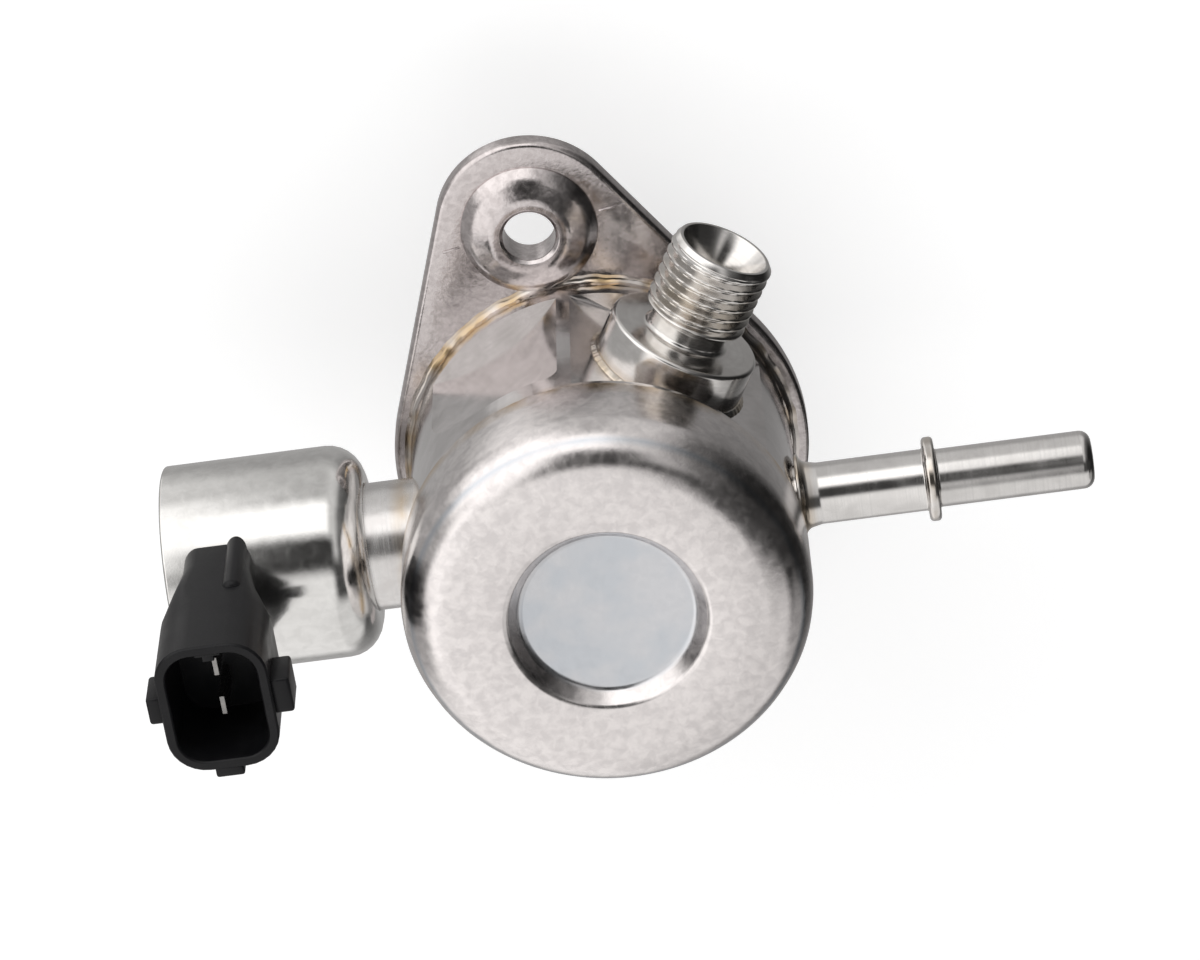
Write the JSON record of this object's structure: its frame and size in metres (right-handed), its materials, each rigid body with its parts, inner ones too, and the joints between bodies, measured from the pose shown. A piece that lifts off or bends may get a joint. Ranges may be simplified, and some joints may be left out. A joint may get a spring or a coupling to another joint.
{
  "type": "high pressure fuel pump",
  "caption": "Cam driven plunger pump for fuel injection, with an eared flange, damper cover, threaded outlet, push-on inlet tube and solenoid inlet valve.",
  "frame": {"origin": "centre of the flange's mounting face, on the pump axis", "axes": "+Z along the pump axis towards the damper cover, +X along the inlet tube, the solenoid valve towards -X, the outlet 60 degrees from +X towards +Y"},
  "size_m": [0.1271, 0.0966, 0.09],
  "materials": {
    "housing_steel": "smooth turned stainless steel",
    "flange_steel": "satin pressed stainless steel",
    "cover_steel": "satin drawn stainless steel",
    "can_steel": "mottled satin drawn steel",
    "port_steel": "bright turned stainless steel",
    "tube_steel": "polished stainless steel tube",
    "inner_steel": "ground hardened steel",
    "spring_steel": "drawn spring wire",
    "membrane_steel": "thin bright stainless sheet",
    "strainer_mesh": "fine woven stainless mesh",
    "copper_wire": "enamelled copper wire",
    "bobbin_plastic": "glass filled moulding",
    "connector_plastic": "satin black moulding",
    "seal_polymer": "filled sealing polymer",
    "ring_rubber": "black rubber",
    "terminal_tin": "tin plated blade"
  },
  "bodies": {
    "root": {"pump_housing": "housing_steel", "mounting_flange": "flange_steel", "damper_cover": "cover_steel", "damper_upper_membrane": "membrane_steel", "damper_lower_membrane": "membrane_steel", "damper_support_ring": "inner_steel", "damper_spring_ring": "inner_steel", "cylinder_liner": "inner_steel", "seal_carrier": "cover_steel", "plunger_seal": "seal_polymer", "return_spring": "spring_steel", "pilot_o_ring": "ring_rubber", "inlet_tube": "tube_steel", "inlet_strainer": "strainer_mesh", "outlet_fitting": "port_steel", "outlet_valve_seat": "inner_steel", "outlet_valve_spring": "spring_steel", "inlet_valve_stop": "inner_steel", "inlet_valve_seat": "inner_steel", "inlet_valve_spring": "spring_steel", "valve_body": "port_steel", "pole_core": "inner_steel", "armature_spring": "spring_steel", "coil_bobbin": "bobbin_plastic", "coil_winding": "copper_wire", "solenoid_can": "can_steel", "can_end_plate": "can_steel", "connector_body": "connector_plastic", "terminal_front": "terminal_tin", "terminal_rear": "terminal_tin"},
    "plunger_group": {"plunger": "inner_steel", "spring_seat": "inner_steel"},
    "armature_group": {"armature": "inner_steel", "valve_needle": "inner_steel"},
    "inlet_valve_group": {"inlet_valve_disc": "inner_steel"},
    "outlet_valve_group": {"outlet_valve_ball": "inner_steel"}
  },
  "joints": [
    {"name": "plunger_slide", "type": "slide", "parent": "root", "child": "plunger_group", "axis": [0, 0, 1], "range_m": [0, 0.0045], "stiffness_N_per_m": 15000, "deforming": ["return_spring"]},
    {"name": "armature_slide", "type": "slide", "parent": "root", "child": "armature_group", "axis": [-1, 0, 0], "range_m": [0, 0.0005], "stiffness_N_per_m": 4000, "deforming": ["armature_spring"]},
    {"name": "inlet_valve_slide", "type": "slide", "parent": "root", "child": "inlet_valve_group", "axis": [-1, 0, 0], "range_m": [0, 0.0004], "deforming": ["inlet_valve_spring"]},
    {"name": "outlet_valve_slide", "type": "slide", "parent": "root", "child": "outlet_valve_group", "axis": [0.5, 0.866, 0], "range_m": [0, 0.0005], "stiffness_N_per_m": 2000, "deforming": ["outlet_valve_spring"]}
  ],
  "couplings": [
    {"joint": "inlet_valve_slide", "follows": "armature_slide", "ratio": 0.8}
  ]
}
